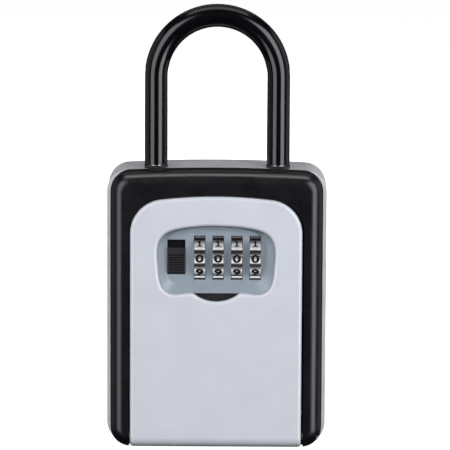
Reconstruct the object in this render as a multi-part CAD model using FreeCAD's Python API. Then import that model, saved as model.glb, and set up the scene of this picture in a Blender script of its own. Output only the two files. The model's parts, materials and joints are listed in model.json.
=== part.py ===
import FreeCAD, Part
import math
import os

# Key lock box with shackle. Units mm. +X right, -Y front, +Z up.
# Origin: middle of the base, half way through the depth.

V = FreeCAD.Vector

# rear case
caseWidth = 90.0
caseTop = 115.0
caseFront = -8.0
caseBack = 20.0
caseWall = 3.0
caseCrown = 690.0
caseCorner = 9.0
caseBackFillet = 4.0
wallHoleRadius = 2.6
wallHoleX = 25.0
wallHoleZ = (28.0, 88.0)

# front frame
frameWidth = 86.8
frameTop = 115.1
frameFront = -19.0
frameCorner = 8.2
frameFillet = 5.3
openingWidth = 71.6
openingTop = 105.3
openingCrown = 189.0
openingCorner = 14.8
ledgeFront = -11.8
ledgeWidth = 62.0
ledgeTop = 99.6
ledgeCrown = 3000.0
ledgeCorner = 3.5
ledgeBottom = 6.2
railFront = -10.6
frameScrewX = 33.35
frameScrewZ = (14.0, 84.0)

# door and its hinge
doorX = -0.15
doorWidth = 70.2
doorTop = 104.7
doorCrown = 188.0
doorCorner = 14.0
doorFront = -20.0
doorRim = -14.5
doorSkin = 2.0
doorEdge = 1.4
rollRadius = 4.4
hingeY = -15.6
hingeZ = 4.7
pinRadius = 1.5
pinRunningFit = 0.06
postX = 27.6
postZ = (68.0, 90.5)
postEnd = -11.9

# recess, dial plate and finger pull
recessHalf = (
    (0, 92.5), (8.0, 92.2), (16.0, 91.0), (20.6, 89.2), (23.2, 86.0), (23.95, 82.5), (23.7, 76.0),
    (23.0, 70.0), (21.3, 66.2), (17.6, 64.4), (12.4, 64.8), (7.0, 64.9), (0, 64.9),
)
recessEdge = 1.4
plateWidth = 50.3
plateLow = 63.2
plateTop = 93.9
plateCrown = 86.0
plateCornerTop = 7.7
plateCornerLow = 7.2
floorX = -0.4
floorZ = 79.2
floorShrink = (0.845, 0.945, 0.765)  # across, above and below the middle
plateBack = -14.3
plateFloor = -15.4
windowWidth = 4.7
windowHeight = 18.3
windowZ = 78.95
slotX = -16.25
slotWidth = 7.4
slotHeight = 14.4
slotZ = 79.2
pullX = -0.05
pullRadius = 14.6
pullLow = 61.4
pullTop = 64.6

# dials, cams and spindle
dialY = -9.7
dialZ = 79.1
dialRadius = 10.0
dialThickness = 4.4
dialOffsets = (-6.71, 0.85, 8.45, 16.0)
digitCount = 10
facetHalfAngle = 10.5
grooveHalfAngle = 14.8
grooveRadius = 9.0
sleeveRadius = 3.0
sleeveRunningFit = 0.08
camRadius = 4.2
camThickness = 1.2
camGap = 0.2
keyWidth = 0.9
keyTip = 4.0
keyLength = 1.1
spindleRadius = 1.5

# latch
latchFront = -13.4
latchBack = -12.2
hookWidth = 14.0
hookTop = 98.4
hookFront = -7.6
hookBack = -6.2
fingerTip = 82.65
beamLow = 90.9
beamTop = 93.3
sliderBottom = 72.2
sliderHeight = 10.9
sliderFront = -16.4
rivetZ = 78.0

# mechanism cover
coverBack = 2.0
coverLeft = -14.2
coverRight = 22.3
coverWall = 1.3
coverLow = 67.5
coverTop = 91.1

# shackle
shackleY = -3.6
shackleSpan = 25.0
barRadius = 4.0
sleeveOuter = 4.7
archZ = 152.1
legEnd = 98.0
collarTop = 115.7
collarFoot = 109.0
collarRadius = 4.85
legBore = 4.1
neckRadius = 2.1
lockPlateLow = 101.9
lockPlateTop = 104.3

slideY = 12.0
lockScrewX = (-37.5, 31.0)
lockScrewLow = 100.0

# small screws
screwHead = 2.1
screwShank = 1.2
screwHole = 1.6
screwBore = 1.25
socketHalf = 1.5
socketThin = 0.3


def block(x0, x1, y0, y1, z0, z1):
    return Part.makeBox(x1 - x0, y1 - y0, z1 - z0, V(x0, y0, z0))


def rodX(radius, x0, x1, y, z):
    return Part.makeCylinder(radius, x1 - x0, V(x0, y, z), V(1, 0, 0))


def rodY(radius, y0, y1, x, z):
    return Part.makeCylinder(radius, y1 - y0, V(x, y0, z), V(0, 1, 0))


def rodZ(radius, z0, z1, x, y):
    return Part.makeCylinder(radius, z1 - z0, V(x, y, z0), V(0, 0, 1))


def arc(a, b, c):
    return Part.Arc(a, b, c).toShape()


def outline(y, x, width, low, top, crown, cornerTop, cornerLow):
    """Closed wire in a plane of constant y: straight sides and base, arched top."""
    half = width / 2
    base = top - crown
    cx = half - cornerTop
    cz = base + math.sqrt((crown - cornerTop) ** 2 - cx ** 2)
    stretch = crown / (crown - cornerTop)
    tx = cx * stretch
    tz = base + (cz - base) * stretch
    bend = math.atan2(tz - cz, tx - cx) / 2
    mx = cx + cornerTop * math.cos(bend)
    mz = cz + cornerTop * math.sin(bend)

    def at(px, pz):
        return V(x + px, y, pz)

    edges = [
        Part.makeLine(at(-half + cornerLow, low), at(half - cornerLow, low)),
        Part.makeLine(at(half, low + cornerLow), at(half, cz)),
        arc(at(half, cz), at(mx, mz), at(tx, tz)),
        arc(at(tx, tz), at(0, top), at(-tx, tz)),
        arc(at(-tx, tz), at(-mx, mz), at(-half, cz)),
        Part.makeLine(at(-half, cz), at(-half, low + cornerLow)),
    ]
    if cornerLow > 0:
        q = cornerLow * (1 - math.sqrt(0.5))
        right = arc(at(half - cornerLow, low), at(half - q, low + q), at(half, low + cornerLow))
        left = arc(at(-half, low + cornerLow), at(-half + q, low + q), at(-half + cornerLow, low))
        edges.insert(1, right)
        edges.append(left)
    return Part.Wire(edges)


def recessWire(y, x=0.0, shrink=(1.0, 1.0, 1.0)):
    """Smooth closed outline of the recess, shrunk about the middle of the plate's floor."""
    across, above, below = shrink
    half = []
    for px, pz in recessHalf:
        rise = pz - floorZ
        half.append((px * across, floorZ + rise * (above if rise > 0 else below)))
    points = half + [(-px, pz) for px, pz in reversed(half[1:-1])]
    curve = Part.BSplineCurve()
    curve.interpolate(Points=[V(doorX + x + px, y, pz) for px, pz in points], PeriodicFlag=True)
    return Part.Wire(curve.toShape())


def prism(y0, y1, *shape):
    return Part.Face(outline(y0, *shape)).extrude(V(0, y1 - y0, 0))


def edgesAt(solid, y):
    found = []
    for edge in solid.Edges:
        if all(abs(v.Point.y - y) < 1e-4 for v in edge.Vertexes):
            if edge.BoundBox.YLength < 1e-2:
                found.append(edge)
    return found


def fuse(first, *others):
    return first.fuse(list(others)).removeSplitter()


def save(name, shape):
    shape.exportStep("parts/" + name + ".step")


def crossSocket(x, z, y0, y1):
    flat = block(x - socketHalf, x + socketHalf, y0, y1, z - socketThin, z + socketThin)
    upright = block(x - socketThin, x + socketThin, y0, y1, z - socketHalf, z + socketHalf)
    return [flat, upright]


def eachCorner(xs, zs):
    return [(x, z) for x in xs for z in zs]


# case

def rearCase():
    outer = prism(caseFront, caseBack, 0, caseWidth, 0, caseTop, caseCrown, caseCorner, caseCorner)
    outer = outer.makeFillet(caseBackFillet, edgesAt(outer, caseBack))
    inside = prism(
        caseFront - 1, caseBack - caseWall, 0, caseWidth - 2 * caseWall, caseWall,
        caseTop - caseWall, caseCrown, caseCorner - caseWall, caseCorner - caseWall,
    )
    inside = inside.makeFillet(2.0, edgesAt(inside, caseBack - caseWall))
    case = outer.cut(inside)
    posts = []
    for side in (-1, 1):
        x0, x1 = sorted((side * 31.2, side * 43.0))
        for z in frameScrewZ:
            posts.append(block(x0, x1, caseFront, 10.0, z - 5, z + 5))
        boss = rodZ(6.5, 107.0, 113.0, side * shackleSpan, shackleY)
        posts.append(boss.common(block(-45, 45, caseFront, 10, 100, 115)))
    posts.append(block(-12, 12, 7, 16, 104.6, 113.0))
    for x in lockScrewX:
        posts.append(rodZ(3.0, 101.6, 112.0, x, slideY))
    case = fuse(case, *posts)
    holes = []
    for side in (-1, 1):
        holes.append(rodZ(collarRadius + 0.05, collarFoot, 117.0, side * shackleSpan, shackleY))
        holes.append(rodZ(legBore, 106.0, 110.0, side * shackleSpan, shackleY))
    for x in lockScrewX:
        holes.append(rodZ(screwBore, 101.0, 110.0, x, slideY))
    for x, z in eachCorner((-frameScrewX, frameScrewX), frameScrewZ):
        holes.append(rodY(screwBore, caseFront - 1, 6.0, x, z))
    for x, z in eachCorner((-wallHoleX, wallHoleX), wallHoleZ):
        holes.append(rodY(wallHoleRadius, caseBack - 4, caseBack + 1, x, z))
    return case.cut(holes)


def shackleGrommets():
    rings = []
    for side in (-1, 1):
        ring = rodZ(collarRadius, collarFoot, collarTop, side * shackleSpan, shackleY)
        ring = ring.common(block(-45, 45, caseFront + 0.05, 10, 100, 120))
        ring = ring.cut(rodZ(legBore, 108.0, 118.0, side * shackleSpan, shackleY))
        rings.append(ring)
    return Part.makeCompound(rings)


def frontFrame():
    outer = prism(frameFront, caseFront, 0, frameWidth, 0, frameTop, caseCrown, frameCorner, frameCorner)
    outer = outer.makeFillet(frameFillet, edgesAt(outer, frameFront))
    opening = prism(
        frameFront - 1, ledgeFront, 0, openingWidth, -5, openingTop, openingCrown, openingCorner, 0,
    )
    ledge = prism(
        ledgeFront - 1, caseFront + 1, 0, ledgeWidth, ledgeBottom, ledgeTop, ledgeCrown,
        ledgeCorner, ledgeCorner,
    )
    frame = outer.cut([opening, ledge])
    cuts = [
        block(-openingWidth / 2, openingWidth / 2, ledgeFront - 1, railFront, -1, 9.6),
        rodX(pinRadius + 0.02, -40.0, 44.0, hingeY, hingeZ),
    ]
    for x, z in eachCorner((-frameScrewX, frameScrewX), frameScrewZ):
        cuts.append(rodY(screwHole, ledgeFront - 1, caseFront + 1, x, z))
    return frame.cut(cuts)


def frameScrews():
    screws = []
    for x, z in eachCorner((-frameScrewX, frameScrewX), frameScrewZ):
        head = rodY(screwHead, ledgeFront - 1.6, ledgeFront, x, z)
        head = head.makeFillet(0.5, edgesAt(head, ledgeFront - 1.6))
        socket = crossSocket(x, z, ledgeFront - 2, ledgeFront - 0.9)
        screws.append(fuse(head, rodY(screwShank, ledgeFront, 4.0, x, z)).cut(socket))
    return Part.makeCompound(screws)


def hingePin():
    pin = rodX(pinRadius, -39.9, 41.8, hingeY, hingeZ)
    return pin.makeChamfer(0.3, [pin.Edges[0], pin.Edges[2]])


def lockCover():
    plate = block(-41.0, 34.5, 7.0, 16.9, lockScrewLow, 101.6)
    cuts = [block(-2.5, 4.5, 9.5, 14.5, 99.0, 102.0)]
    for x in lockScrewX:
        cuts.append(rodZ(1.5, 99.0, 102.0, x, slideY))
    return plate.cut(cuts)


def lockCoverScrews():
    screws = []
    for x in lockScrewX:
        head = rodZ(2.3, lockScrewLow - 1.6, lockScrewLow, x, slideY)
        slot = block(x - 3, x + 3, slideY - socketThin, slideY + socketThin,
                     lockScrewLow - 2, lockScrewLow - 0.9)
        screws.append(fuse(head, rodZ(screwShank, lockScrewLow, 108.0, x, slideY)).cut(slot))
    return Part.makeCompound(screws)


# shackle and its lock

def halfRing(radius):
    ring = Part.makeTorus(shackleSpan, radius, V(0, shackleY, archZ), V(0, 1, 0))
    return ring.common(block(-40, 40, -20, 20, archZ, 200))


def shackleBar():
    legs = []
    for side in (-1, 1):
        leg = rodZ(barRadius, legEnd, archZ, side * shackleSpan, shackleY)
        low = [e for e in leg.Edges if abs(e.BoundBox.ZMax - legEnd) < 1e-3]
        leg = leg.makeChamfer(0.8, low)
        x = side * shackleSpan
        groove = rodZ(barRadius + 1, lockPlateLow - 0.4, lockPlateTop + 0.4, x, shackleY)
        neck = rodZ(neckRadius, lockPlateLow - 1, lockPlateTop + 1, x, shackleY)
        legs.append(leg.cut(groove.cut(neck)))
    return fuse(halfRing(barRadius), *legs)


def shackleSleeve():
    outer = [halfRing(sleeveOuter)]
    inner = [halfRing(barRadius + 0.02)]
    for side in (-1, 1):
        x = side * shackleSpan
        outer.append(rodZ(sleeveOuter, collarTop + 0.3, archZ, x, shackleY))
        inner.append(rodZ(barRadius + 0.02, collarTop - 1, archZ, x, shackleY))
    return fuse(*outer).cut(fuse(*inner))


def shackleLockPlate():
    left = -shackleSpan - 7.9
    right = shackleSpan - 4.4
    plate = block(left, right, 7.5, 15.5, lockPlateLow, lockPlateTop)
    fingers = []
    for x in (-shackleSpan, shackleSpan):
        fingers.append(block(x - 7.9, x - 4.4, -7.0, 7.5, lockPlateLow, lockPlateTop))
    return fuse(plate, *fingers).cut(rodZ(1.25, 101.0, 105.0, 0, slideY))


def releaseKnob():
    head = rodZ(5.0, 91.0, 99.5, 0, slideY)
    head = head.makeFillet(1.0, [e for e in head.Edges if abs(e.BoundBox.ZMax - 91.0) < 1e-3])
    stem = rodZ(2.0, 99.5, lockPlateLow, 0, slideY)
    rivet = rodZ(1.25, lockPlateLow, lockPlateTop, 0, slideY)
    return fuse(head, stem, rivet)


# door

def doorPanel():
    face = prism(doorFront, doorRim, doorX, doorWidth, hingeZ, doorTop, doorCrown, doorCorner, 0)
    rim = [e for e in edgesAt(face, doorFront) if e.BoundBox.ZMax > hingeZ + 1]
    face = face.makeFillet(doorEdge, rim)
    roll = rodX(rollRadius, doorX - doorWidth / 2, doorX + doorWidth / 2, hingeY, hingeZ)
    ends = [e for e in roll.Edges if e.BoundBox.XLength < 1e-2]
    roll = roll.makeFillet(doorEdge, ends)
    hollow = prism(
        doorFront + doorSkin, doorRim + 1, doorX, doorWidth - 4, 11.0, doorTop - 2, doorCrown - 2,
        doorCorner - 2, 3.0,
    )
    panel = fuse(face, roll).cut(hollow)
    posts = []
    screwHoles = []
    for x, z in eachCorner((doorX - postX, doorX + postX), postZ):
        posts.append(rodY(2.2, doorFront + 1, postEnd, x, z))
        screwHoles.append(rodY(screwBore, doorFront + 2.5, postEnd + 1, x, z))
    panel = fuse(panel, *posts).cut(screwHoles)
    recess = Part.Face(recessWire(doorFront - 1)).extrude(V(0, doorSkin + 1.5, 0))
    pull = rodY(pullRadius, doorFront - 1, doorFront + doorSkin + 0.5, pullX, pullLow + pullRadius)
    pull = pull.common(block(-20, 20, -30, 0, 50, 65))
    bore = rodX(pinRadius + pinRunningFit, -40, 40, hingeY, hingeZ)
    panel = panel.cut([fuse(recess, pull), bore])
    lip = []
    for edge in edgesAt(panel, doorFront):
        box = edge.BoundBox
        if box.XMin > doorX - 25 and box.XMax < doorX + 25 and box.ZMin > 60 and box.ZMax < 94:
            lip.append(edge)
    return panel.makeFillet(recessEdge, lip)


def dialPlate():
    plate = prism(
        doorFront + doorSkin, plateBack, doorX, plateWidth, plateLow, plateTop, plateCrown,
        plateCornerTop, plateCornerLow,
    )
    mouth = recessWire(doorFront + doorSkin, 0.0, (0.995, 0.995, 0.995))
    floor = recessWire(plateFloor, floorX, floorShrink)
    plate = plate.cut(Part.makeLoft([mouth, floor], True, True))
    cuts = [block(doorX - 11.5, doorX + 11.7, -19, -13, 50, pullTop + 0.1)]
    for offset in dialOffsets:
        x = doorX + offset
        cuts.append(block(x - windowWidth / 2, x + windowWidth / 2, -17, -13,
                          windowZ - windowHeight / 2, windowZ + windowHeight / 2))
    x = doorX + slotX
    cuts.append(block(x - slotWidth / 2, x + slotWidth / 2, -17, -13,
                      slotZ - slotHeight / 2, slotZ + slotHeight / 2))
    cuts.append(block(x, doorX + 19.4, plateFloor - 0.1, plateFloor + 0.2, dialZ - 0.55, dialZ + 0.55))
    return plate.cut(cuts)


def fingerPull():
    z = pullLow + pullRadius
    body = rodY(pullRadius + 1.0, doorFront + doorSkin, -13.6, pullX, z)
    hollow = rodY(pullRadius, doorFront + doorSkin - 1, -14.9, pullX, z)
    below = block(-20, 20, -30, 0, 50, pullTop)
    return body.common(below).cut(hollow)


def doorBackCover():
    flange = block(doorX - 29.8, doorX + 29.8, postEnd, -10.4, 63.0, 92.9)
    corners = [e for e in flange.Edges if e.BoundBox.YLength > 1]
    flange = flange.makeFillet(3.0, corners)
    shell = block(coverLeft, coverRight, -10.5, coverBack, coverLow, coverTop)
    shell = shell.makeFillet(1.2, edgesAt(shell, coverBack))
    inside = block(coverLeft + coverWall, coverRight - 1.4, -12.5, coverBack - coverWall,
                   coverLow + coverWall, coverTop - coverWall)
    cover = fuse(flange, shell).cut(inside)
    fins = []
    left = coverLeft + coverWall - 0.2
    for offset in dialOffsets:
        x = doorX + offset
        fins.append(block(left, x - dialThickness / 2 - 0.25, -2.0, 1.0, dialZ - 5, dialZ + 5))
        left = x + dialThickness / 2 + 0.25
    fins.append(block(left, coverRight - 1.2, -2.0, 1.0, dialZ - 5, dialZ + 5))
    cover = fuse(cover, *fins)
    cuts = [
        rodX(spindleRadius + 0.06, coverLeft - 5, coverRight + 1, dialY, dialZ),
        block(coverLeft - 4.6, coverLeft - 0.1, -12.5, -10.0, dialZ - 3, dialZ + 3),
        block(22.6, 27.3, -12.5, -10.0, dialZ - 4.5, dialZ + 4.5),
    ]
    for x, z in eachCorner((doorX - postX, doorX + postX), postZ):
        cuts.append(rodY(screwHole, -12.5, -10.0, x, z))
    return cover.cut(cuts)


def coverScrews():
    screws = []
    for x, z in eachCorner((doorX - postX, doorX + postX), postZ):
        head = rodY(screwHead, -10.4, -8.9, x, z)
        head = head.makeFillet(0.5, edgesAt(head, -8.9))
        socket = crossSocket(x, z, -9.7, -8.0)
        screws.append(fuse(head, rodY(screwShank, -17.0, -10.4, x, z)).cut(socket))
    return Part.makeCompound(screws)


# latch

def openSlider():
    x = doorX + slotX
    half = slotWidth / 2 - 0.15
    top = sliderBottom + sliderHeight
    button = block(x - half, x + half, sliderFront, latchFront, sliderBottom, top)
    front = [e for e in edgesAt(button, sliderFront) if e.BoundBox.ZLength < 0.1]
    button = button.makeFillet(0.5, front)
    grooves = []
    for k in range(8):
        z = sliderBottom + 1.2 + k
        grooves.append(block(x - half + 0.6, x + half - 0.6, sliderFront - 1, sliderFront + 0.45, z, z + 0.5))
    return button.cut(grooves + [rodY(1.5, -15.2, latchFront + 1, x, rivetZ)])


def latchPlate():
    x = doorX + slotX
    plate = block(x - 4.5, x + 3.5, latchFront, latchBack, 73.5, beamTop)
    beam = block(x - 4.5, 17.5, latchFront, latchBack, beamLow, beamTop)
    left = doorX - hookWidth / 2
    right = doorX + hookWidth / 2
    shelf = block(left, right, latchFront, hookBack, beamTop, beamTop + 1.2)
    hook = block(left, right, hookFront, hookBack, beamTop, hookTop)
    nose = [e for e in hook.Edges if e.BoundBox.XLength > 10 and e.BoundBox.ZMin > hookTop - 0.5]
    hook = hook.makeFillet(0.5, nose)
    fingers = []
    for offset in dialOffsets:
        side = doorX + offset - dialThickness / 2
        fingers.append(block(side - 1.3, side - 0.3, latchFront, latchBack, fingerTip, beamLow + 0.4))
    return fuse(plate, beam, shelf, hook, *fingers).cut(rodY(1.5, -14, -12, x, rivetZ))


def sliderRivet():
    return rodY(1.5, -15.2, latchBack, doorX + slotX, rivetZ)


# dials, cams and reset slide

def dial(offset):
    x0 = doorX + offset - dialThickness / 2
    points = []
    for k in range(digitCount):
        middle = 360.0 / digitCount * k
        for radius, turn in (
            (grooveRadius, -grooveHalfAngle), (dialRadius, -facetHalfAngle),
            (dialRadius, facetHalfAngle), (grooveRadius, grooveHalfAngle),
        ):
            angle = math.radians(middle + turn)
            points.append(V(x0, dialY - radius * math.cos(angle), dialZ + radius * math.sin(angle)))
    wheel = Part.Face(Part.makePolygon(points + points[:1])).extrude(V(dialThickness, 0, 0))
    cuts = [rodX(sleeveRadius + sleeveRunningFit, x0 - 1, x0 + dialThickness + 1, dialY, dialZ)]
    for k in range(digitCount):
        half = keyWidth / 2 + 0.15
        notch = block(x0 - 0.1, x0 + keyLength + 0.2, dialY - half, dialY + half,
                      dialZ + 2.5, dialZ + keyTip + 0.3)
        notch.rotate(V(0, dialY, dialZ), V(1, 0, 0), 360.0 / digitCount * k)
        cuts.append(notch)
    return wheel.cut(cuts)


def cam(offset):
    left = doorX + offset - dialThickness / 2
    disc = rodX(camRadius, left - camGap - camThickness, left - camGap, dialY, dialZ)
    sleeve = rodX(sleeveRadius, left - camGap - 0.1, left + dialThickness / 2 + 3.7, dialY, dialZ)
    keys = []
    for side in (0, 180):
        key = block(left - camGap - 0.1, left + keyLength, dialY - keyWidth / 2, dialY + keyWidth / 2,
                    dialZ + 2.5, dialZ + keyTip)
        key.rotate(V(0, dialY, dialZ), V(1, 0, 0), side)
        keys.append(key)
    gate = block(left - 3, left - camGap, latchFront - 0.3, latchBack + 0.3, dialZ + 0.8, dialZ + 13)
    bore = rodX(spindleRadius + 0.06, left - 5, left + 12, dialY, dialZ)
    return fuse(disc, sleeve, *keys).cut([gate, bore])


def dialSpindle():
    rod = rodX(spindleRadius, -16.6, 25.6, dialY, dialZ)
    collars = [rodX(2.6, -10.9, -10.5, dialY, dialZ), rodX(2.6, 19.7, 20.2, dialY, dialZ)]
    return fuse(rod, *collars)


def resetLever():
    arm = block(24.2, 25.6, -11.4, 2.8, dialZ - 2.7, dialZ + 2.7)
    tab = block(24.2, 27.6, 1.6, 2.8, dialZ - 2.7, dialZ + 2.7)
    return fuse(arm, tab).cut(rodX(spindleRadius + 0.02, 24, 26, dialY, dialZ))


def spindleClip():
    ring = rodX(2.3, -15.1, -14.5, dialY, dialZ)
    return ring.cut(rodX(spindleRadius + 0.02, -16, -14, dialY, dialZ))


os.makedirs("parts", exist_ok=True)
save("rear_case", rearCase())
save("front_frame", frontFrame())
save("frame_screws", frameScrews())
save("hinge_pin", hingePin())
save("shackle_grommets", shackleGrommets())
save("lock_cover", lockCover())
save("lock_cover_screws", lockCoverScrews())
save("shackle_bar", shackleBar())
save("shackle_sleeve", shackleSleeve())
save("shackle_lock_plate", shackleLockPlate())
save("release_knob", releaseKnob())
save("door_panel", doorPanel())
save("dial_plate", dialPlate())
save("finger_pull", fingerPull())
save("door_back_cover", doorBackCover())
save("cover_screws", coverScrews())
save("open_slider", openSlider())
save("latch_plate", latchPlate())
save("slider_rivet", sliderRivet())
for number, offset in enumerate(dialOffsets, 1):
    save("dial_%d" % number, dial(offset))
    save("cam_%d" % number, cam(offset))
save("dial_spindle", dialSpindle())
save("reset_lever", resetLever())
save("spindle_clip", spindleClip())
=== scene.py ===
import json
import math
import bpy
import bmesh
from mathutils import Matrix, Vector

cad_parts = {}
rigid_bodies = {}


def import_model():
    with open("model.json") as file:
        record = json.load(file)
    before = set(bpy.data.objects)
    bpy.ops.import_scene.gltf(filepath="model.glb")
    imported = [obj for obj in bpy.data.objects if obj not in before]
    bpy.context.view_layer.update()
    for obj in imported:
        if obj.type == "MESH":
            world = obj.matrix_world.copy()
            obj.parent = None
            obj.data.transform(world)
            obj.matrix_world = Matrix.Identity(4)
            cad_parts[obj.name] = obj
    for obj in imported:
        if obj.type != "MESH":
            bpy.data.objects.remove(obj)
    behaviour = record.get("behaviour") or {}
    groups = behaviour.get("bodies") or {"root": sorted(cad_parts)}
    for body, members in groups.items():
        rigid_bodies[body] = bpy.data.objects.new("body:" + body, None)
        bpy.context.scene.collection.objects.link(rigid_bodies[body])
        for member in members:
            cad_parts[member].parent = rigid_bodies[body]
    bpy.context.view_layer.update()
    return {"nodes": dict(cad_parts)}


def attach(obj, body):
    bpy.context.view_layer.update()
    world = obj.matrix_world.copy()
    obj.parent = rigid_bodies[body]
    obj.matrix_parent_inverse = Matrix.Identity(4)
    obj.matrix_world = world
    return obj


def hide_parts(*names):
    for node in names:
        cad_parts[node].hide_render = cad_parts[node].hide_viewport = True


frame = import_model()
print("frame loaded:", len(frame["nodes"]), "nodes")

mm = 0.001

# materials: how a fine grain and soft clouds are mixed into the tone and the gloss of every finish
mix = {
    "rough": 0.55, "grainDetail": 3, "cloudDetail": 4, "grainShare": 0.45, "cloudShare": 0.55,
    "contrast": 1.8, "grainGloss": 0.5, "shine": 0.5, "coatRough": 0.12,
}
still = 0.5  # the middle of a noise


class Wire:
    # one output socket, so that values can be worked out as plain sums
    def __init__(self, finish, socket):
        self.finish = finish
        self.socket = socket

    def sums(self, operation, first, second):
        return self.finish.add("Math", {"operation": operation}, {0: first, 1: second})

    def __add__(self, other):
        return self.sums("ADD", self, other)

    def __radd__(self, other):
        return self.sums("ADD", other, self)

    def __sub__(self, other):
        return self.sums("SUBTRACT", self, other)

    def __mul__(self, other):
        return self.sums("MULTIPLY", self, other)


class Finish:
    def __init__(self, name):
        self.material = bpy.data.materials.new(name)
        self.material.use_nodes = True
        self.tree = self.material.node_tree
        self.tree.nodes.clear()

    def add(self, kind, settings, values, out=0):
        made = self.tree.nodes.new("ShaderNode" + kind)
        for key, value in settings.items():
            setattr(made, key, value)
        for key, value in values.items():
            if isinstance(value, Wire):
                self.tree.links.new(value.socket, made.inputs[key])
            else:
                made.inputs[key].default_value = value
        return Wire(self, made.outputs[out])

    def coordinates(self, stretch):
        place = self.add("TexCoord", {}, {}, "Object")
        return self.add("Mapping", {}, {"Vector": place, "Scale": stretch})

    def noise(self, place, size, detail):
        values = {"Vector": place, "Scale": 1 / (size * mm), "Detail": detail, "Roughness": mix["rough"]}
        return self.add("TexNoise", {}, values)

    def blend(self, factor, first, second):
        values = {"Factor": factor, 6: (*first, 1), 7: (*second, 1)}
        return self.add("Mix", {"data_type": "RGBA"}, values, 2)

    def output(self, shader):
        made = self.tree.nodes.new("ShaderNodeOutputMaterial")
        self.tree.links.new(shader.socket, made.inputs["Surface"])


# paints, plastics and metals: sizes of the patterns in mm
finishes = {
    "castGrey": {
        "dark": (0.50, 0.505, 0.525), "pale": (0.66, 0.665, 0.69), "metal": 0.1, "gloss": 0.42,
        "grain": 0.5, "cloud": 9, "bump": 0.22, "depth": 0.05, "uneven": 0.16,
    },
    "satinBlack": {
        "dark": (0.001, 0.001, 0.002), "pale": (0.005, 0.005, 0.007), "metal": 0.0, "gloss": 0.30,
        "grain": 0.45, "cloud": 7, "bump": 0.14, "depth": 0.04, "uneven": 0.14,
    },
    "silverPaint": {
        "dark": (0.45, 0.48, 0.51), "pale": (0.52, 0.55, 0.58), "metal": 0.12, "gloss": 0.40,
        "grain": 0.22, "cloud": 14, "bump": 0.05, "depth": 0.02, "uneven": 0.10, "coat": 0.15,
    },
    "platePaint": {
        "dark": (0.188, 0.232, 0.262), "pale": (0.242, 0.290, 0.320), "metal": 0.1, "gloss": 0.38,
        "grain": 0.25, "cloud": 8, "bump": 0.06, "depth": 0.02, "uneven": 0.10,
    },
    "blackPlastic": {
        "dark": (0.010, 0.010, 0.011), "pale": (0.020, 0.020, 0.021), "metal": 0.0, "gloss": 0.42,
        "grain": 0.3, "cloud": 5, "bump": 0.12, "depth": 0.03, "uneven": 0.12,
    },
    "sliderPlastic": {
        "dark": (0.012, 0.012, 0.013), "pale": (0.026, 0.026, 0.028), "metal": 0.0, "gloss": 0.30,
        "grain": 0.3, "cloud": 5, "bump": 0.1, "depth": 0.03, "uneven": 0.12, "shine": 0.4,
    },
    "glossVinyl": {
        "dark": (0.001, 0.001, 0.0015), "pale": (0.002, 0.002, 0.003), "metal": 0.0, "gloss": 0.16,
        "grain": 2.0, "cloud": 12, "bump": 0.02, "depth": 0.02, "uneven": 0.08,
    },
    "collarRubber": {
        "dark": (0.009, 0.009, 0.010), "pale": (0.016, 0.016, 0.017), "metal": 0.0, "gloss": 0.38,
        "grain": 0.35, "cloud": 4, "bump": 0.1, "depth": 0.03, "uneven": 0.12,
    },
    # ink of the printed digits, also used as painted shade on the dial groove floors and in the slider rib
    # grooves
    "digitInk": {
        "dark": (0.003, 0.003, 0.003), "pale": (0.008, 0.008, 0.008), "metal": 0.0, "gloss": 0.45,
        "grain": 0.2, "cloud": 2, "bump": 0.08, "depth": 0.02, "uneven": 0.1, "shine": 0.25,
    },
    "chromedDial": {
        "dark": (0.50, 0.50, 0.515), "pale": (0.62, 0.62, 0.63), "metal": 1.0, "gloss": 0.27,
        "grain": 0.3, "cloud": 3, "bump": 0.05, "depth": 0.02, "uneven": 0.12,
    },
    "zincPlate": {
        "dark": (0.50, 0.51, 0.50), "pale": (0.70, 0.70, 0.67), "metal": 1.0, "gloss": 0.34,
        "grain": 0.6, "cloud": 5, "bump": 0.08, "depth": 0.02, "uneven": 0.2,
    },
    "shackleSteel": {
        "dark": (0.50, 0.50, 0.51), "pale": (0.68, 0.68, 0.69), "metal": 1.0, "gloss": 0.26,
        "grain": 0.5, "cloud": 6, "bump": 0.08, "depth": 0.02, "uneven": 0.16, "stretch": (1, 1, 0.05),
    },
    "camBrass": {
        "dark": (0.58, 0.42, 0.17), "pale": (0.78, 0.60, 0.28), "metal": 1.0, "gloss": 0.3,
        "grain": 0.4, "cloud": 4, "bump": 0.08, "depth": 0.02, "uneven": 0.18, "stretch": (0.1, 1, 1),
    },
    "screwSteel": {
        "dark": (0.42, 0.42, 0.43), "pale": (0.60, 0.60, 0.61), "metal": 1.0, "gloss": 0.3,
        "grain": 0.35, "cloud": 2, "bump": 0.08, "depth": 0.02, "uneven": 0.2,
    },
    # near-black zinc, darkened further as painted shade so the slot behind the slider looks black
    "blackZinc": {
        "dark": (0.002, 0.002, 0.0025), "pale": (0.005, 0.005, 0.006), "metal": 0.0, "gloss": 0.45,
        "grain": 0.4, "cloud": 4, "bump": 0.1, "depth": 0.02, "uneven": 0.15, "shine": 0.12,
    },
}


def makeFinish(name, look):
    finish = Finish(name)
    place = finish.coordinates(look.get("stretch", (1, 1, 1)))
    grain = finish.noise(place, look["grain"], mix["grainDetail"])
    cloud = finish.noise(place, look["cloud"], mix["cloudDetail"])
    tone = (grain * mix["grainShare"] + cloud * mix["cloudShare"] - still) * mix["contrast"] + still
    colour = finish.blend(tone, look["dark"], look["pale"])
    clouded = look["gloss"] + (cloud - still) * look["uneven"]
    rough = clouded + (grain - still) * look["uneven"] * mix["grainGloss"]
    depth = look["depth"] * mm
    relief = finish.add("Bump", {}, {"Strength": look["bump"], "Distance": depth, "Height": grain})
    shader = finish.add("BsdfPrincipled", {}, {
        "Base Color": colour, "Metallic": look["metal"], "Roughness": rough, "Normal": relief,
        "Specular IOR Level": look.get("shine", mix["shine"]),
        "Coat Weight": look.get("coat", 0.0), "Coat Roughness": mix["coatRough"],
    })
    finish.output(shader)
    return finish.material


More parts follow.
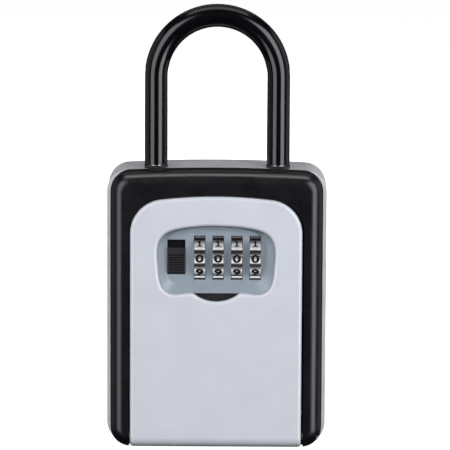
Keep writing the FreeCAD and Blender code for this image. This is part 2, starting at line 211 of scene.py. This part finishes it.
paint = {name: makeFinish(name, look) for name, look in finishes.items()}
print("finishes made:", len(paint))


# meshes: distances in mm, angles in degrees
meshing = {"weld": 0.002, "copyWeld": 0.001, "flat": 0.4, "edgeAngle": 40, "same": 0.001}


# edge is the width of the rounding in mm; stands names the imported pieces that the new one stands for
def finishPiece(bm, name, body, stands, finish, sharp=32, edge=0.0, steps=2):
    bmesh.ops.remove_doubles(bm, verts=bm.verts, dist=meshing["weld"] * mm)
    bmesh.ops.recalc_face_normals(bm, faces=bm.faces)
    mesh = bpy.data.meshes.new(name)
    bm.to_mesh(mesh)
    bm.free()
    mesh.shade_smooth()
    mesh.set_sharp_from_angle(angle=math.radians(sharp))
    mesh.materials.append(paint[finish])
    piece = bpy.data.objects.new(name, mesh)
    bpy.context.scene.collection.objects.link(piece)
    if edge > 0:
        rounding = piece.modifiers.new("rounding", "BEVEL")
        rounding.width = edge * mm
        rounding.segments = steps
        rounding.limit_method = "ANGLE"
        rounding.angle_limit = math.radians(meshing["edgeAngle"])
        rounding.harden_normals = False
        rounding.use_clamp_overlap = True
    shading = piece.modifiers.new("shading", "WEIGHTED_NORMAL")
    shading.keep_sharp = True
    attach(piece, body)
    if stands:
        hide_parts(*stands)
    return piece


def copyOf(node):
    bm = bmesh.new()
    bm.from_mesh(frame["nodes"][node].data)
    for layer in list(bm.loops.layers.uv):
        bm.loops.layers.uv.remove(layer)
    bmesh.ops.remove_doubles(bm, verts=bm.verts, dist=meshing["copyWeld"] * mm)
    flat = math.radians(meshing["flat"])
    bmesh.ops.dissolve_limit(bm, angle_limit=flat, verts=bm.verts, edges=bm.edges)
    return bm


def at(x, y, z):
    return Matrix.Translation((x * mm, y * mm, z * mm))


def everything(bm):
    return bm.verts[:] + bm.edges[:] + bm.faces[:]


def edgesAt(verts):
    return list({edge for vert in verts for edge in vert.link_edges})


def ringEdges(geom):
    return [part for part in geom if isinstance(part, bmesh.types.BMEdge)]


def ringVerts(geom):
    return [part for part in geom if isinstance(part, bmesh.types.BMVert)]


# housing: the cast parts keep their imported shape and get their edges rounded
housing = {
    "rearCase": {
        "node": "rear_case", "body": "case", "slot": "grey_paint", "finish": "castGrey", "edge": 0.25,
    },
    "frontFrame": {
        "node": "front_frame", "body": "case", "slot": "black_paint", "finish": "satinBlack", "edge": 0.35,
    },
    "doorPanel": {
        "node": "door_panel", "body": "door", "slot": "silver_paint", "finish": "silverPaint", "edge": 0.15,
    },
    "fingerPull": {
        "node": "finger_pull", "body": "door", "slot": "black_plastic", "finish": "blackPlastic",
        "edge": 0.15,
    },
}
for name, part in housing.items():
    finishPiece(
        copyOf(part["node"]), name, part["body"], [part["node"]], part["finish"],
        edge=part["edge"],
    )
print("housing done")


# shackle bar, its sleeve and the collars at its feet
shackle = {
    "y": -3.6, "span": 25, "arch": 152.1, "sides": 40, "archSteps": 40,
    "bar": [(98.0, 3.2), (98.8, 4.0), (101.5, 4.0), (101.5, 2.1), (104.7, 2.1), (104.7, 4.0)],
    "sleeve": [(116.0, 4.45), (116.25, 4.7)], "sleeveWall": 0.62,
    "collarFoot": 109.0, "collarTop": 115.7, "collarOut": 4.85, "collarIn": 4.1, "collarFlat": -7.95,
    "collarSides": 48, "collarEdge": 0.35,
}


def bentTube(bm, stations, capped):
    # up the left leg, round the arch and down the right leg; stations are (height, radius)
    span, y, top = shackle["span"], shackle["y"], shackle["arch"]
    height, radius = stations[0]
    made = bmesh.ops.create_circle(
        bm, cap_ends=capped, segments=shackle["sides"], radius=radius * mm, matrix=at(-span, y, height),
    )
    ring = edgesAt(made["verts"])

    def pull(ring, centre, rise, ratio):
        made = bmesh.ops.extrude_edge_only(bm, edges=ring)
        verts = ringVerts(made["geom"])
        bmesh.ops.translate(bm, verts=verts, vec=(0, 0, rise * mm))
        bmesh.ops.scale(bm, verts=verts, vec=(ratio, ratio, 1), space=at(*centre).inverted())
        return ringEdges(made["geom"])

    path = stations + [(top, stations[-1][1])]
    for (low, thin), (high, wide) in zip(path, path[1:]):
        ring = pull(ring, (-span, y, high), high - low, wide / thin)
    made = bmesh.ops.spin(
        bm, geom=ring, cent=(0, y * mm, top * mm), axis=(0, 1, 0), angle=math.pi,
        steps=shackle["archSteps"], use_merge=False, use_duplicate=False,
    )
    ring = ringEdges(made["geom_last"])
    path.reverse()
    for (high, wide), (low, thin) in zip(path, path[1:]):
        ring = pull(ring, (span, y, low), low - high, thin / wide)
    if capped:
        bmesh.ops.edgeloop_fill(bm, edges=ring)
    return bm


bar = bentTube(bmesh.new(), shackle["bar"], True)
finishPiece(bar, "shackleBar", "shackle", ["shackle_bar"], "shackleSteel")
sleeve = bentTube(bmesh.new(), shackle["sleeve"], False)
sleeve = finishPiece(sleeve, "shackleSleeve", "shackle", ["shackle_sleeve"], "glossVinyl")
wall = sleeve.modifiers.new("wall", "SOLIDIFY")
wall.thickness = shackle["sleeveWall"] * mm
wall.offset = -1
sleeve.modifiers.move(1, 0)

collars = bmesh.new()
for side in (-1, 1):
    place = at(side * shackle["span"], shackle["y"], shackle["collarFoot"])
    rings = []
    for radius in (shackle["collarOut"], shackle["collarIn"]):
        made = bmesh.ops.create_circle(
            collars, cap_ends=False, segments=shackle["collarSides"], radius=radius * mm, matrix=place,
        )
        rings += edgesAt(made["verts"])
    made = bmesh.ops.bridge_loops(collars, edges=rings)
    made = bmesh.ops.extrude_face_region(collars, geom=made["faces"])
    rise = (shackle["collarTop"] - shackle["collarFoot"]) * mm
    bmesh.ops.translate(collars, verts=ringVerts(made["geom"]), vec=(0, 0, rise))
cut = bmesh.ops.bisect_plane(
    collars, geom=everything(collars), plane_co=(0, shackle["collarFlat"] * mm, 0), plane_no=(0, -1, 0),
    clear_outer=True,
)
bmesh.ops.holes_fill(collars, edges=ringEdges(cut["geom_cut"]), sides=0)
finishPiece(
    collars, "shackleCollars", "case", ["shackle_grommets"], "collarRubber",
    edge=shackle["collarEdge"], steps=3,
)
print("shackle done")


# number dials
dials = {
    "doorX": -0.15, "y": -9.7, "z": 79.1, "centres": (-6.71, 0.85, 8.45, 16.0), "thick": 4.4,
    "radius": 10.0, "facet": 9.8, "floor": 9.3, "floorHalf": 4.2, "bore": 3.08, "count": 10,
    "floorClose": 0.05,
    "bulge": 0.16, "facetCuts": 5, "grooveSteps": 3, "sharp": 15, "edge": 0.08,
    "digitHigh": 3.0, "digitWide": 1.5, "digitBold": 0.04, "digitProud": 0.13, "digitShift": 0.15,
    "digitShare": 0.7, "digitSmooth": 6,
    "oneBars": (
        ((-0.35, 0.35), (-1.25, 1.25)), ((-1.0, 1.0), (-1.25, -0.8)), ((-0.85, -0.25), (0.6, 1.05)),
    ),
}
halfStep = 180 / dials["count"]
flatRadius = dials["radius"] * math.cos(math.radians(dials["facet"]))
dialAxis = Vector((0, dials["y"] * mm, dials["z"] * mm))


# the line from the dials' axis out to a vertex, and its bearing in degrees
def fromAxis(vert):
    away = vert.co - dialAxis
    away.x = 0
    return away, math.degrees(math.atan2(away.z, -away.y))


# degrees between a bearing and the middle of its facet
def offFacet(bearing):
    return (bearing + halfStep) % (2 * halfStep) - halfStep


# moves a vertex to a radius in mm, in the direction given
def moveOut(vert, direction, radius):
    vert.co = dialAxis + direction.normalized() * radius * mm + Vector((vert.co.x, 0, 0))


def makeDial(centre):
    bm = bmesh.new()
    half = math.radians(halfStep)
    corner = flatRadius / math.cos(half)
    turn = Matrix.Rotation(math.pi / 2, 4, "Y") @ Matrix.Rotation(half, 4, "Z")
    start = at(centre - dials["thick"] / 2, dials["y"], dials["z"])
    made = bmesh.ops.create_circle(
        bm, cap_ends=False, segments=dials["count"], radius=corner * mm, matrix=start @ turn,
    )
    ring = edgesAt(made["verts"])
    made = bmesh.ops.extrude_edge_only(bm, edges=ring)
    bmesh.ops.translate(bm, verts=ringVerts(made["geom"]), vec=(dials["thick"] * mm, 0, 0))
    long = [e for e in bm.edges if abs(e.verts[0].co.x - e.verts[1].co.x) > mm]
    # each ridge between two facets becomes a groove whose floor is inked dark as painted shade, and each
    # facet bulges a little
    groove = flatRadius * (math.tan(half) - math.tan(math.radians(dials["facet"])))
    bmesh.ops.bevel(
        bm, geom=long, affect="EDGES", offset=groove * mm, segments=dials["grooveSteps"], profile=0.5,
        material=-1,
    )
    same = meshing["same"] * mm
    flatLength = 2 * flatRadius * math.tan(math.radians(dials["facet"])) * mm
    rims = [
        e for e in bm.edges
        if abs(e.verts[0].co.x - e.verts[1].co.x) < same and e.calc_length() > flatLength - same
    ]
    bmesh.ops.subdivide_edges(bm, edges=rims, cuts=dials["facetCuts"], use_grid_fill=True)
    for vert in bm.verts:
        away, bearing = fromAxis(vert)
        turnBy = offFacet(bearing)
        if abs(turnBy) > dials["facet"] + 1:
            side = math.copysign(halfStep - dials["floorHalf"], turnBy)
            bearing = math.radians(bearing - turnBy + side)
            moveOut(vert, Vector((0, -math.cos(bearing), math.sin(bearing))), dials["floor"])
        else:
            rise = dials["bulge"] * mm * (1 - (turnBy / dials["facet"]) ** 2)
            vert.co += away.normalized() * max(rise, 0)
    for x in (centre - dials["thick"] / 2, centre + dials["thick"] / 2):
        rim = [e for e in bm.edges if all(abs(v.co.x - x * mm) < same for v in e.verts)]
        made = bmesh.ops.extrude_edge_only(bm, edges=rim)
        for vert in ringVerts(made["geom"]):
            moveOut(vert, fromAxis(vert)[0], dials["bore"])
    bores = [e for e in bm.edges if e.is_boundary]
    bmesh.ops.bridge_loops(bm, edges=bores)
    # faces on the groove floors take the second material: ink as painted shade
    for face in bm.faces:
        reach = [fromAxis(vert)[0].length / mm for vert in face.verts]
        if all(abs(radius - dials["floor"]) < dials["floorClose"] for radius in reach):
            face.material_index = 1
    return bm


def makeDigits(centre):
    bm = bmesh.new()
    for digit in range(dials["count"]):
        turn = Matrix.Rotation(-2 * math.pi * digit / dials["count"], 4, "X")
        face = at(0, -flatRadius, dials["digitShift"]) @ Matrix.Rotation(math.pi / 2, 4, "X")
        place = at(centre, dials["y"], dials["z"]) @ turn @ face
        if digit == 1:
            thick = 2 * dials["digitProud"]
            for (left, right), (low, high) in dials["oneBars"]:
                bar = at((left + right) / 2, (low + high) / 2, 0)
                size = Matrix.Diagonal(((right - left) * mm, (high - low) * mm, thick * mm, 1))
                made = bmesh.ops.create_cube(bm, size=1, matrix=place @ bar @ size)
                long = [edge for edge in edgesAt(made["verts"]) if edge.calc_length() > mm]
                bmesh.ops.subdivide_edges(bm, edges=long, cuts=dials["facetCuts"], use_grid_fill=True)
            continue
        curve = bpy.data.curves.new("digit", "FONT")
        curve.body = str(digit)
        curve.align_x = "CENTER"
        curve.align_y = "CENTER"
        curve.size = dials["digitHigh"] * mm / dials["digitShare"]
        curve.offset = dials["digitBold"] * curve.size
        curve.extrude = dials["digitProud"] * mm
        curve.resolution_u = dials["digitSmooth"]
        source = bpy.data.objects.new("digit", curve)
        bpy.context.scene.collection.objects.link(source)
        bpy.context.view_layer.update()
        graph = bpy.context.evaluated_depsgraph_get()
        mesh = bpy.data.meshes.new_from_object(source.evaluated_get(graph))
        bpy.data.objects.remove(source)
        across = [vert.co.x for vert in mesh.vertices]
        along = [vert.co.y for vert in mesh.vertices]
        middle = Vector(((min(across) + max(across)) / 2, (min(along) + max(along)) / 2, 0))
        wide = Matrix.Diagonal((dials["digitWide"], 1, 1, 1))
        mesh.transform(place @ wide @ Matrix.Translation(-middle))
        bm.from_mesh(mesh)
        bpy.data.meshes.remove(mesh)
    # the digits follow the bulge of their facets
    for vert in bm.verts:
        away, bearing = fromAxis(vert)
        turnBy = offFacet(bearing)
        plain = flatRadius / math.cos(math.radians(turnBy))
        proud = math.copysign(dials["digitProud"], away.length - plain * mm)
        rise = dials["bulge"] * (1 - (turnBy / dials["facet"]) ** 2)
        moveOut(vert, away, plain + rise + proud)
    return bm


for number, centre in enumerate(dials["centres"], 1):
    x = dials["doorX"] + centre
    body = "dial_%d" % number
    wheel = finishPiece(
        makeDial(x), "dialWheel%d" % number, body, [body], "chromedDial",
        sharp=dials["sharp"], edge=dials["edge"],
    )
    # second material on the wheel: ink as painted shade in the grooves
    wheel.data.materials.append(paint["digitInk"])
    finishPiece(makeDigits(x), "dialDigits%d" % number, body, [], "digitInk")
print("dials done")


# open slider with fine ribs
slider = {
    "x": -16.4, "halfWidth": 3.55, "low": 72.2, "high": 83.1, "front": -16.4, "back": -13.4,
    "ribLow": 1.5, "ribPitch": 1.0, "ribCount": 7, "ribWide": 0.55, "ribDeep": 0.6, "ribMargin": 0.3,
    "footHigh": 1.1, "footDeep": 1.8, "near": 0.1, "edge": 0.14,
}


def makeSlider():
    bm = bmesh.new()
    high = slider["high"] - slider["low"]
    deep = slider["back"] - slider["front"]
    middle = at(slider["x"], slider["front"] + deep / 2, slider["low"] + high / 2)
    size = Matrix.Diagonal((2 * slider["halfWidth"] * mm, deep * mm, high * mm, 1))
    bmesh.ops.create_cube(bm, size=1, matrix=middle @ size)
    cuts = []
    for rib in range(slider["ribCount"]):
        low = slider["low"] + slider["ribLow"] + rib * slider["ribPitch"]
        cuts += [((0, 0, low), (0, 0, 1)), ((0, 0, low + slider["ribWide"]), (0, 0, 1))]
    inner = slider["halfWidth"] - slider["ribMargin"]
    cuts += [((slider["x"] - inner, 0, 0), (1, 0, 0)), ((slider["x"] + inner, 0, 0), (1, 0, 0))]
    cuts.append(((0, 0, slider["low"] + slider["footHigh"]), (0, 0, 1)))
    for point, normal in cuts:
        bmesh.ops.bisect_plane(
            bm, geom=everything(bm), plane_co=[c * mm for c in point], plane_no=normal,
        )
    grooves = []
    share = slider["ribWide"] / slider["ribPitch"]
    for face in bm.faces:
        centre = face.calc_center_median() / mm
        inFront = centre.y < slider["front"] + slider["near"]
        along = (centre.z - slider["low"] - slider["ribLow"]) / slider["ribPitch"]
        inGroove = 0 <= along < slider["ribCount"] and along % 1 <= share
        if inFront and inGroove and abs(centre.x - slider["x"]) <= inner:
            grooves.append(face)
    for face in grooves:
        made = bmesh.ops.extrude_face_region(bm, geom=[face])
        bmesh.ops.translate(bm, verts=ringVerts(made["geom"]), vec=(0, slider["ribDeep"] * mm, 0))
        # the groove walls and floors take the second material: ink as painted shade
        for part in made["geom"]:
            if isinstance(part, bmesh.types.BMFace):
                part.material_index = 1
    bmesh.ops.delete(bm, geom=grooves, context="FACES")
    # the foot of the button slopes back under it
    front = (slider["front"] + slider["near"]) * mm
    bottom = (slider["low"] + slider["near"]) * mm
    foot = [vert for vert in bm.verts if vert.co.z < bottom and vert.co.y < front]
    bmesh.ops.translate(bm, verts=foot, vec=(0, slider["footDeep"] * mm, 0))
    return bm


button = finishPiece(
    makeSlider(), "openSlider", "latch", ["open_slider"], "sliderPlastic",
    edge=slider["edge"],
)
# second material on the slider: ink as painted shade in the rib grooves
button.data.materials.append(paint["digitInk"])
print("slider done")


# mechanism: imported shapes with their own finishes
mechanism = {
    "hinge_pin": "zincPlate", "lock_cover": "zincPlate", "lock_cover_screws": "screwSteel",
    "shackle_lock_plate": "zincPlate", "release_knob": "blackPlastic", "door_back_cover": "blackPlastic",
    # the latch plate and rivet seen through the slot take the near-black finish as painted shade
    "cover_screws": "screwSteel", "latch_plate": "blackZinc", "slider_rivet": "blackZinc",
    "cam_1": "camBrass", "cam_2": "camBrass", "cam_3": "camBrass", "cam_4": "camBrass",
    "dial_spindle": "zincPlate", "reset_lever": "zincPlate", "spindle_clip": "screwSteel",
    "frame_screws": "screwSteel", "dial_plate": "platePaint",
}
for name, finish in mechanism.items():
    mesh = frame["nodes"][name].data
    mesh.materials.clear()
    mesh.materials.append(paint[finish])
print("mechanism done")


# floor, light and camera
stage = {
    "floor": 12.0, "floorLevel": -0.05, "floorColour": (0.92, 0.92, 0.92), "floorRough": 0.9,
    "floorGlow": 0.92, "sky": 0.025, "middle": 90,
}
floorMesh = bpy.data.meshes.new("floor")
bm = bmesh.new()
below = at(0, 0, stage["floorLevel"])
bmesh.ops.create_grid(bm, x_segments=1, y_segments=1, size=stage["floor"], matrix=below)
bm.to_mesh(floorMesh)
bm.free()
floor = bpy.data.objects.new("floor", floorMesh)
bpy.context.scene.collection.objects.link(floor)
plain = Finish("plainFloor")
plain.output(plain.add("BsdfPrincipled", {}, {
    "Base Color": (*stage["floorColour"], 1), "Roughness": stage["floorRough"],
    "Emission Color": (1, 1, 1, 1), "Emission Strength": stage["floorGlow"],
}))
floorMesh.materials.append(plain.material)
floor.visible_glossy = False  # the dark paint mirrors the dim room, not the floor
floor.visible_diffuse = False

world = bpy.data.worlds.new("studio")
world.use_nodes = True
sky = world.node_tree.nodes["Background"]
sky.inputs["Color"].default_value = (1, 1, 1, 1)
rays = world.node_tree.nodes.new("ShaderNodeLightPath")
bright = world.node_tree.nodes.new("ShaderNodeMapRange")
bright.inputs["To Min"].default_value = stage["sky"]
world.node_tree.links.new(rays.outputs["Is Camera Ray"], bright.inputs["Value"])
world.node_tree.links.new(bright.outputs["Result"], sky.inputs["Strength"])
bpy.context.scene.world = world

# lights: bearing and height in degrees seen from the object, distance and size in mm, strength of the lit
# face; one without shine isn't mirrored, one without soft is only mirrored, and only names what it lights
coolWhite = (0.96, 0.93, 1.0)
lights = {
    "leftBox": {
        "bearing": -38, "height": 8, "distance": 900, "size": (560, 1100), "strength": 3.4,
        "colour": coolWhite,
    },
    "rightBox": {
        "bearing": 42, "height": 8, "distance": 900, "size": (560, 1100), "strength": 4.8,
        "colour": coolWhite,
    },
    "leftSide": {"bearing": -100, "height": 8, "distance": 900, "size": (900, 1000), "strength": 0.3},
    "rightSide": {"bearing": 105, "height": 8, "distance": 900, "size": (700, 1000), "strength": 0.5},
    "leftWash": {
        "bearing": -80, "height": 6, "distance": 900, "size": (600, 900), "strength": 1.5, "shine": False,
    },
    "rightWash": {
        "bearing": 80, "height": 6, "distance": 900, "size": (600, 900), "strength": 2.4, "shine": False,
    },
    "frontFill": {
        "bearing": 0, "height": 26, "distance": 1300, "size": (1200, 900), "strength": 2.28, "shine": False,
    },
    "overhead": {
        "bearing": 0, "height": 86, "distance": 900, "size": (900, 480), "strength": 1.4, "soft": False,
    },
    "topStrip": {
        "bearing": 0, "height": 76, "distance": 900, "size": (900, 280), "strength": 3.4, "soft": False,
        "only": "frontFrame",
    },
    "backBox": {"bearing": 180, "height": 50, "distance": 1200, "size": (1200, 500), "strength": 0.4},
    "backFill": {
        "bearing": 180, "height": 4, "distance": 1300, "size": (1200, 900), "strength": 2.6, "shine": False,
    },
    "dialGlow": {
        "bearing": 0, "height": -30, "distance": 130, "size": (240, 90), "strength": 1.45,
        "only": "dialWheel",
    },
    "dialUnder": {
        "bearing": 0, "height": -64, "distance": 80, "size": (240, 50), "strength": 1.3,
        "only": "dialWheel",
    },
    "dialUpper": {
        "bearing": 0, "height": 50, "distance": 300, "size": (400, 150), "strength": 0.85,
        "only": "dialWheel",
    },
}


# the direction from the object at a bearing and a height in degrees, with bearing 0 in front of it
def outward(bearing, height):
    around, above = math.radians(bearing), math.radians(height)
    flat = math.cos(above)
    return Vector((math.sin(around) * flat, -math.cos(around) * flat, math.sin(above)))


middle = Vector((0, 0, stage["middle"] * mm))
for name, light in lights.items():
    data = bpy.data.lights.new(name, "AREA")
    data.shape = "RECTANGLE"
    data.size = light["size"][0] * mm
    data.size_y = light["size"][1] * mm
    data.energy = light["strength"] * math.pi * data.size * data.size_y
    data.color = light.get("colour", (1, 1, 1))
    away = outward(light["bearing"], light["height"])
    lamp = bpy.data.objects.new(name, data)
    lamp.location = middle + away * light["distance"] * mm
    lamp.rotation_mode = "QUATERNION"
    lamp.rotation_quaternion = (-away).to_track_quat("-Z", "Y")
    lamp.visible_glossy = light.get("shine", True)
    lamp.visible_diffuse = light.get("soft", True)
    lamp.visible_camera = False
    bpy.context.scene.collection.objects.link(lamp)
    if "only" in light:
        lit = bpy.data.collections.new(name)
        for piece in bpy.context.scene.objects:
            if piece.name.startswith(light["only"]):
                lit.objects.link(piece)
        lamp.light_linking.receiver_collection = lit

camera = {
    "distance": 1500, "azimuth": 0.3016, "elevation": 9.2, "roll": 0.281, "lens": 291.26,
    "target": (3.3226, 0, 90.02), "sensor": 36, "near": 50, "far": 30000,
}
tilt = math.radians(camera["roll"])
back = outward(camera["azimuth"], camera["elevation"])
level = Vector((0, 0, 1)).cross(back).normalized()
upright = back.cross(level)
across = level * math.cos(tilt) + upright * math.sin(tilt)
up = upright * math.cos(tilt) - level * math.sin(tilt)
data = bpy.data.cameras.new("camera")
data.sensor_width = camera["sensor"]
data.lens = camera["lens"]
data.clip_start = camera["near"] * mm
data.clip_end = camera["far"] * mm
cam = bpy.data.objects.new("camera", data)
turn = Matrix((across, up, back)).transposed().to_4x4()
eye = (Vector(camera["target"]) + back * camera["distance"]) * mm
cam.matrix_world = Matrix.Translation(eye) @ turn
bpy.context.scene.collection.objects.link(cam)
bpy.context.scene.camera = cam
bpy.context.scene.view_settings.view_transform = "Standard"
print("stage done")
